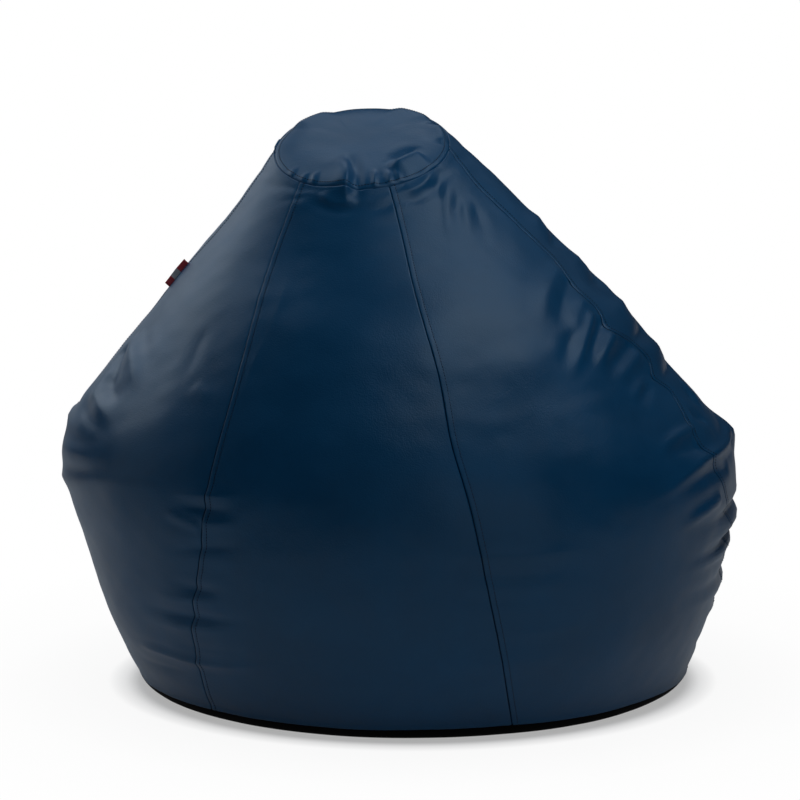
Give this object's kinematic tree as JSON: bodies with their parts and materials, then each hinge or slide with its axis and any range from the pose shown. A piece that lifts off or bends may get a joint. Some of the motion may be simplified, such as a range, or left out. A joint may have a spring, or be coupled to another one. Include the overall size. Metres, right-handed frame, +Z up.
{
  "type": "bean bag chair",
  "caption": "Pear-shaped bean bag chair: crowned leatherette gores sewn under a tilted round cap, over a zipped base, a liner and a bead filling.",
  "frame": {"origin": "on the floor, under the middle of the bag's bounding box", "axes": "+Z up; -Y is the front, the side toward which the cap tilts; +X is to the right of a viewer in front"},
  "size_m": [0.9315, 0.8808, 0.798],
  "materials": {
    "cover_leatherette": "navy leatherette, fine pebble grain, semi-gloss",
    "base_leatherette": "black leatherette, matt",
    "label_ribbon": "woven red and white ribbon, plain",
    "zip_tape_cloth": "woven polyester tape",
    "zip_teeth_plastic": "moulded acetal teeth",
    "zip_metal": "nickel-plated die casting",
    "liner_cloth": "white non-woven cloth",
    "foam_beads": "expanded polystyrene beads, shown as one body of filling"
  },
  "bodies": {
    "bag": {"side_panel_front": "cover_leatherette", "side_panel_right": "cover_leatherette", "side_panel_back_right": "cover_leatherette", "side_panel_back": "cover_leatherette", "side_panel_back_left": "cover_leatherette", "side_panel_left": "cover_leatherette", "top_cap": "cover_leatherette", "base_panel_front": "base_leatherette", "base_panel_back": "base_leatherette", "seam_label": "label_ribbon", "zip_tape_front": "zip_tape_cloth", "zip_tape_back": "zip_tape_cloth", "zip_teeth_front": "zip_teeth_plastic", "zip_teeth_back": "zip_teeth_plastic", "zip_top_stops": "zip_metal", "zip_bottom_stop": "zip_metal", "liner_front": "liner_cloth", "liner_back": "liner_cloth", "liner_top": "liner_cloth", "liner_base": "liner_cloth", "bead_fill": "foam_beads"},
    "zip_slider_body": {"zip_slider": "zip_metal"},
    "zip_pull_body": {"zip_pull": "zip_metal"}
  },
  "joints": [
    {"name": "zip_slide", "type": "slide", "parent": "bag", "child": "zip_slider_body", "axis": [-1, 0, 0], "range_m": [0, 0.446], "deforming": ["zip_teeth_front", "zip_teeth_back"]},
    {"name": "zip_pull_hinge", "type": "hinge", "parent": "zip_slider_body", "child": "zip_pull_body", "pos_m": [0.242, 0.009, 0.00485], "axis": [0, -1, 0], "range_deg": [-7, 166]}
  ]
}
